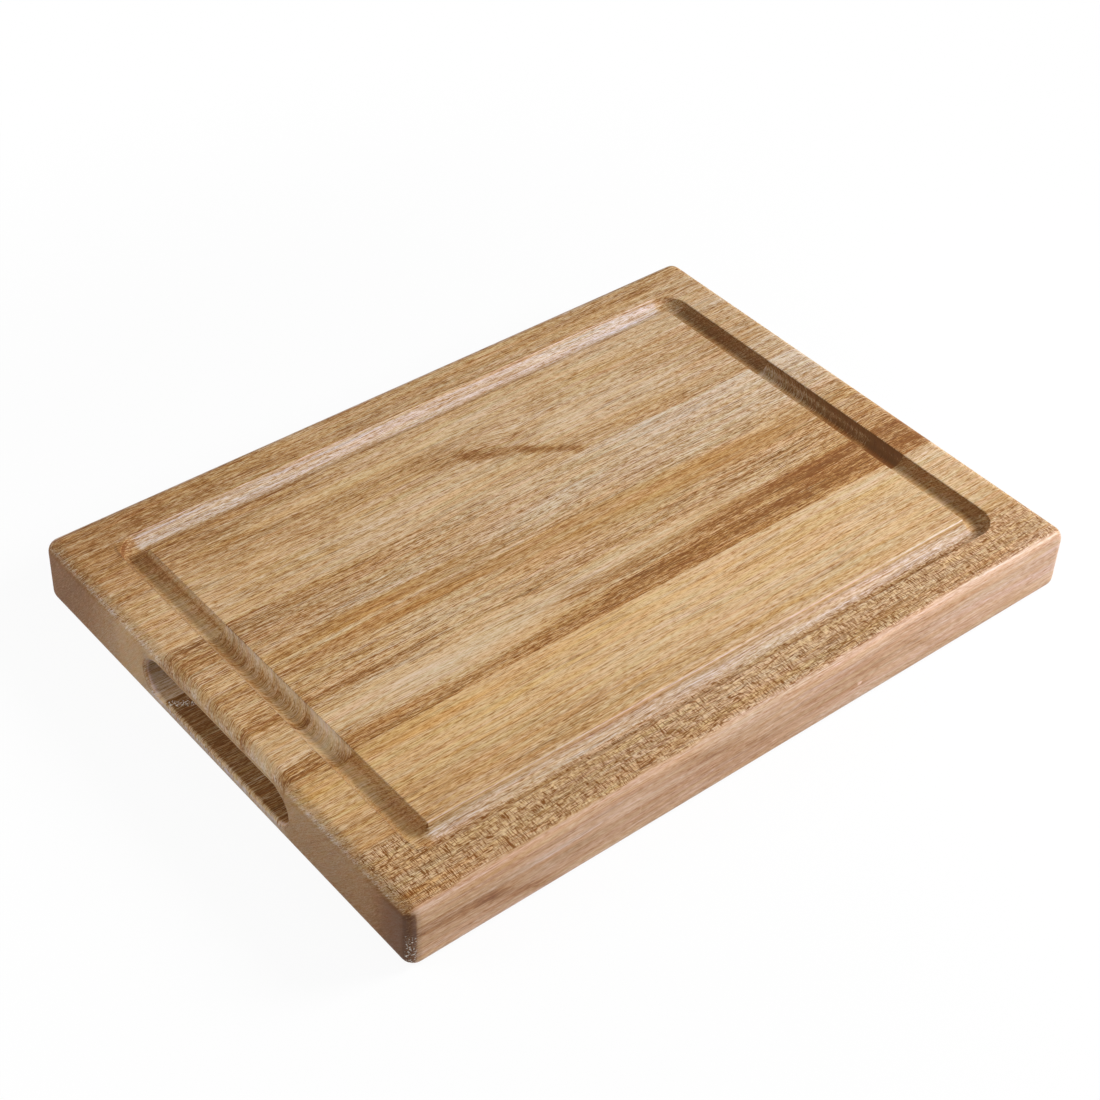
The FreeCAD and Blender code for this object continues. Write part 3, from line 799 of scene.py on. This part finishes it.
MIDDLE_STREAKS = (
    streak((-175, -60), (31.0, 30.5), 1.4, 0.5),
    streak((-175, -80), (26.0, 25.5), 1.6, 0.3),
    streak((-150, -85), (22.5, 22.0), 1.2, 0.5),
    streak((-110, -40), (19.5, 20.5), 1.0, 0.4),
    streak((38, 52), (28.0, 28.3), 1.2, 0.7, fade=6),
    streak((58, 67), (20.0, 20.0), 1.2, 0.7, fade=5),
    streak((50, 68), (17.5, 15.5), 1.2, 0.7, fade=6),
    streak((72, 80), (16.5, 16.5), 1.2, 0.7, fade=5),
    streak((70, 130), (24.5, 25.0), 1.4, 0.4),
    streak((-135, -10), (7.0, 6.0), 1.6, -0.4),
    streak((-130, -92), (11.5, 11.5), 3.4, 0.4, fade=16),
    streak((-95, 22), (11.0, 7.5), 3.2, 0.45, fade=20, edge=1.4),
    streak((-140, 10), (2.5, 1.5), 5.0, 0.1, fade=30, edge=1.2),
    streak((95, 175), (3.0, 1.0), 1.4, -0.5),
    streak((-150, -60), (-6.0, -7.0), 1.0, 0.4),
    streak((-137, -123), (-11.5, -11.5), 1.3, 0.7, fade=6),
    streak((-107, -83), (-11.0, -12.0), 1.3, 0.7, fade=8),
    streak((-175, -78), (-16.5, -17.2), 3.6, 1.35, fade=20, edge=1.2),
    streak((-85, -15), (-17.5, -18.5), 2.4, 0.65, fade=25),
    streak((-22, 22), (-15.0, -17.0), 3.0, 0.45, fade=18),
    streak((34, 112), (-11.5, -14.5), 1.3, 0.75, fade=14),
    streak((60, 165), (-16.0, -17.0), 1.6, 0.4, fade=30),
    streak((-52, -15), (-26.5, -31.8), 1.2, 1.0, fade=8),
    streak((-24, 175), (-29.9, -29.6), 6.2, 0.9, fade=18, edge=2.2),
    streak((-10, 95), (-34.6, -34.6), 1.1, -0.55, fade=20),
    streak((0, 175), (-38.9, -38.6), 5.2, 0.65, fade=30, edge=1.8),
    streak((-62, 6), (-41.0, -41.5), 4.5, 0.4, fade=24, edge=2.5),
    streak((55, 135), (-44.5, -44.3), 2.2, -0.4, fade=20),
)
# The front stave: golden and plain, darker and woven along its outer border.
FRONT_SECTIONS = (
    (-155.0, (
        (-128, 1.0, 0.3), (-112, 0.9, 0.3), (-104, 0.8, 0.3), (-92, 0.4, 0.25), (-80, 0.4, 0.2),
        (-74, 0.3, 0.2), (-64, 0.0, 0.3), (-58, -0.2, 0.6), (-52, 0.0, 0.6), (-46, 0.5, 0.2))),
    (-85.0, (
        (-128, 0.8, 0.2), (-111, 0.6, 0.2), (-105, 0.4, 0.2), (-100, 0.0, 0.15), (-86, 0.2, 0.2),
        (-78, 0.1, 0.2), (-70, -0.3, 0.3), (-60, -0.5, 0.6), (-52, -0.3, 0.8), (-46, -0.7, 0.4))),
    (20.0, (
        (-128, 0.8, 0.1), (-112, 0.6, 0.1), (-106, 0.2, 0.0), (-100, -0.1, 0.0), (-84, 0.0, 0.1),
        (-76, -0.5, 0.1), (-66, -0.7, 0.2), (-56, -0.6, 0.4), (-46, -0.7, 0.2))),
    (120.0, (
        (-128, 0.9, 0.0), (-112, 0.9, 0.0), (-105, 0.6, 0.0), (-98, 0.3, 0.0), (-86, 0.0, 0.0),
        (-76, -0.4, 0.0), (-66, -0.3, 0.2), (-56, -0.1, 0.2), (-50, -0.5, -0.1),
        (-46, -0.4, -0.1))),
    (160.0, (
        (-128, 0.9, -0.2), (-104, 0.9, -0.2), (-90, 0.6, -0.2), (-80, 0.1, -0.3), (-60, 0.1, -0.2),
        (-53, -0.3, -0.5), (-46, 0.4, -0.3))),
)
FRONT_STREAKS = (
    streak((-172, -118), (-48.5, -48.8), 1.2, 0.5),
    streak((-128, -90), (-51.5, -52.8), 1.2, 0.6),
    streak((-92, -66), (-54.0, -54.5), 1.2, 0.4),
    streak((-66, -15), (-55.8, -58.2), 1.3, 0.45),
    streak((-172, -98), (-59.5, -62.0), 1.4, -0.3),
    streak((-172, -98), (-76.0, -76.5), 1.4, 0.5),
    streak((-22, 17), (-63.0, -68.0), 1.0, 0.4),
    streak((28, 92), (-57.0, -60.0), 1.2, 0.4),
    streak((-110, -40), (-69.0, -71.5), 1.0, 0.35),
    streak((-20, 60), (-73.0, -76.0), 1.0, 0.35),
    streak((40, 130), (-68.0, -71.5), 1.1, 0.35),
    streak((-20, 52), (-82.0, -86.0), 1.4, 0.4),
    streak((-140, -60), (-82.5, -84.5), 1.2, 0.35),
    streak((60, 150), (-80.0, -82.0), 1.2, 0.35),
    streak((84, 132), (-49.5, -50.0), 4.0, -0.3),
    streak((-112, -15), (-106.0, -108.5), 4.5, 0.35, edge=3.0),
    streak((0, 132), (-107.0, -115.0), 2.6, 0.5, edge=2.5),
    streak((20, 140), (-103.0, -104.5), 2.0, -0.3),
)
# The outer long face of the front stave: position along it, height above the table.
FACE_STREAKS = (
    streak((-168, -124), (18.5, 15.5), 4.5, 0.9, fade=16, edge=4.0),
    streak((-134, -98), (16.0, 3.0), 4.5, 0.8, fade=14, edge=4.5),
    streak((-166, -138), (21.5, 20.5), 1.0, 0.5, fade=10),
    streak((-166, -108), (5.5, 3.0), 5.0, -0.4, fade=20, edge=4.0),
    streak((-120, -60), (22.0, 20.0), 5.0, -0.45, fade=24, edge=5.0),
    streak((-95, -48), (14.0, 10.0), 9.0, 0.15, fade=20, edge=6.0),
    streak((-60, 60), (15.0, 15.0), 15.0, 0.22, fade=40, edge=10.0),
    streak((-42, 2), (25.5, 12.0), 4.0, 0.5, fade=14, edge=4.0),
    streak((-30, 20), (9.0, 6.0), 2.0, 0.35, fade=14),
    streak((0, 62), (19.5, 16.5), 1.3, 0.5, fade=14),
    streak((4, 44), (14.5, 12.0), 1.3, 0.45, fade=12),
    streak((20, 70), (8.0, 6.5), 5.0, -0.25, fade=20, edge=5.0),
    streak((70, 90), (21.0, 11.0), 3.2, 0.5, fade=8, edge=3.0),
    streak((92, 166), (16.0, 12.0), 12.0, -0.2, fade=20, edge=9.0),
    streak((100, 140), (3.5, 3.0), 3.0, 0.35, fade=14),
    streak((48.2, 50.2), (12.0, 12.0), 1.6, -1.8, fade=1.0, edge=0.8),
    streak((49.4, 51.4), (10.9, 10.9), 0.9, 0.9, fade=1.0, edge=0.6),
    streak((-62.4, -61.8), (15.0, 15.0), 4.0, -0.5, fade=0.4, edge=1.0),
)
# Torn white fibres on the floor of the left finger slot.
SLOT_SPLINTERS = (streak((-163.4, -154.0), (34.8, 28.0), 3.4, 1.8, fade=1.6, edge=1.8),)

# How the tone changes in each stave's hollows. End grain there takes a share of the tone and a
# shift. The front-facing walls of the long runs (a painted highlight), the slot, and the floor
# and walls of the short runs at the left and at the right take shifts. The slot's darker shifts
# and the right run's, darker than the left run's, are painted shade. Deep gold is for the walls
# of the right one.
BACK_HOLLOWS = {
    "End share": 0.5, "End shift": 0.6, "Run wall": -0.4, "Slot tone": 0.05, "Deep gold": -0.15,
    "Left floor": 0.0, "Left low": 0.8, "Left high": -0.3,
    "Right floor": 0.6, "Right low": 1.3, "Right high": 1.15,
}
MIDDLE_HOLLOWS = {
    "End share": 0.7, "End shift": -0.4, "Run wall": 0.0, "Slot tone": 1.35, "Deep gold": -0.95,
    "Left floor": -0.35, "Left low": 0.2, "Left high": -0.7,
    "Right floor": 0.85, "Right low": 1.45, "Right high": 2.8,
}
FRONT_HOLLOWS = {
    "End share": 0.5, "End shift": 0.45, "Run wall": 0.0, "Slot tone": 1.35, "Deep gold": 0.0,
    "Left floor": -0.25, "Left low": 0.75, "Left high": 0.3,
    "Right floor": 0.2, "Right low": 0.95, "Right high": 1.2,
}


def dress_staves():
    """Gives each CAD stave its own plank of acacia."""
    looks = {
        "back_stave": acacia(
            "back acacia", plank=40.0, lean=0.8, knot=1.0, crispness=1.7,
            sections=BACK_SECTIONS, streaks=BACK_STREAKS, hollows=BACK_HOLLOWS),
        "middle_stave": acacia(
            "middle acacia", plank=400.0, lean=-1.0, knot=0.0, crispness=2.1,
            sections=MIDDLE_SECTIONS, streaks=MIDDLE_STREAKS, hollows=MIDDLE_HOLLOWS,
            splinters=SLOT_SPLINTERS),
        "front_stave": acacia(
            "front acacia", plank=800.0, lean=0.9, knot=0.0, crispness=1.5,
            sections=FRONT_SECTIONS, streaks=FRONT_STREAKS, hollows=FRONT_HOLLOWS,
            fleck=True, face_streaks=FACE_STREAKS),
    }
    for node, material in looks.items():
        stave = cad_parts[node]
        stave.data.materials.clear()
        stave.data.materials.append(material)


def place_camera():
    """A camera that sees the board as the photograph does."""
    back = Vector((
        math.sin(CAMERA_TURN) * math.cos(CAMERA_RISE),
        -math.cos(CAMERA_TURN) * math.cos(CAMERA_RISE),
        math.sin(CAMERA_RISE),
    ))
    level = Vector((0, 0, 1)).cross(back).normalized()
    upright = back.cross(level)
    right = level * math.cos(CAMERA_ROLL) + upright * math.sin(CAMERA_ROLL)
    up = upright * math.cos(CAMERA_ROLL) - level * math.sin(CAMERA_ROLL)
    data = bpy.data.cameras.new("photo camera")
    data.lens = CAMERA_LENS
    data.sensor_width = CAMERA_SENSOR
    data.clip_start = CAMERA_CLIP
    camera = bpy.data.objects.new("photo_camera", data)
    bpy.context.scene.collection.objects.link(camera)
    turn = camera.matrix_world.copy()
    for column, axis in enumerate((right, up, back)):
        for row in range(3):
            turn[row][column] = axis[row]
    turn.translation = CAMERA_PLACE
    camera.matrix_world = turn
    bpy.context.scene.camera = camera


def add_lamp(name, place, aim, size, power):
    data = bpy.data.lights.new(name, "AREA")
    data.shape = "DISK"
    data.size = size
    data.energy = power
    lamp = bpy.data.objects.new(name, data)
    lamp.location = place
    lamp.rotation_euler = (Vector(aim) - Vector(place)).to_track_quat("-Z", "Y").to_euler()
    bpy.context.scene.collection.objects.link(lamp)


def light_studio():
    """A broad key lamp at the right front, a weaker one in front, a fill at the left and a
    pale room that shows as plain white."""
    add_lamp("key_softbox", (0.85, -0.45, 0.60), aim=(0.0, 0.0, 0.02), size=0.45, power=16.8)
    add_lamp("front_softbox", (0.10, -0.95, 0.65), aim=(0.0, 0.0, 0.02), size=0.8, power=2.3)
    add_lamp("left_fill", (-0.45, 0.10, 0.30), aim=(-0.1, 0.0, 0.02), size=0.3, power=0.9)
    world = bpy.data.worlds.new("pale room")
    bpy.context.scene.world = world
    world.use_nodes = True
    pattern = Pattern(world.node_tree)
    path = pattern.node("ShaderNodeLightPath")
    seen = pattern.either(path.outputs["Is Camera Ray"], path.outputs["Is Glossy Ray"])
    seen = pattern.either(seen, path.outputs["Is Transmission Ray"])
    room = pattern.node("ShaderNodeBackground")
    room.inputs["Color"].default_value = WHITE
    room.inputs["Strength"].default_value = 0.2
    backdrop = pattern.node("ShaderNodeBackground")
    backdrop.inputs["Color"].default_value = WHITE
    both = pattern.node("ShaderNodeMixShader")
    pattern.feed(both.inputs[0], seen)
    pattern.feed(both.inputs[1], room.outputs[0])
    pattern.feed(both.inputs[2], backdrop.outputs[0])
    output = pattern.node("ShaderNodeOutputWorld")
    pattern.feed(output.inputs["Surface"], both.outputs[0])


def lay_floor():
    """A plain white table top that shows as the backdrop and keeps the board's shadow."""
    bpy.ops.object.select_all(action="DESELECT")
    bpy.ops.mesh.primitive_plane_add(size=6.0, location=(0.0, 0.0, 0.0))
    floor = bpy.context.object
    floor.name = "studio_floor"
    material = bpy.data.materials.new("white floor")
    material.use_nodes = True
    pattern = Pattern(material.node_tree)
    paint = pattern.node("ShaderNodeBsdfDiffuse")
    paint.inputs["Color"].default_value = (0.8, 0.8, 0.8, 1.0)
    glow = pattern.node("ShaderNodeEmission")
    path = pattern.node("ShaderNodeLightPath")
    both = pattern.node("ShaderNodeMixShader")
    seen = pattern.either(path.outputs["Is Camera Ray"], path.outputs["Is Glossy Ray"])
    coordinates = pattern.node("ShaderNodeTexCoord")
    reach = pattern.node("ShaderNodeVectorMath", operation="LENGTH")
    pattern.feed(reach.inputs[0], coordinates.outputs["Object"])
    # The floor keeps a little of the shadow beside the board, and none farther out.
    whiteness = pattern.plus(0.93, pattern.step(reach.outputs["Value"], 0.2, 0.45), 0.07)
    pattern.feed(both.inputs[0], pattern.times(seen, whiteness))
    pattern.feed(both.inputs[1], paint.outputs[0])
    pattern.feed(both.inputs[2], glow.outputs[0])
    output = pattern.node("ShaderNodeOutputMaterial")
    pattern.feed(output.inputs["Surface"], both.outputs[0])
    floor.data.materials.append(material)


dress_staves()
place_camera()
light_studio()
lay_floor()
bpy.context.scene.view_settings.view_transform = "Standard"
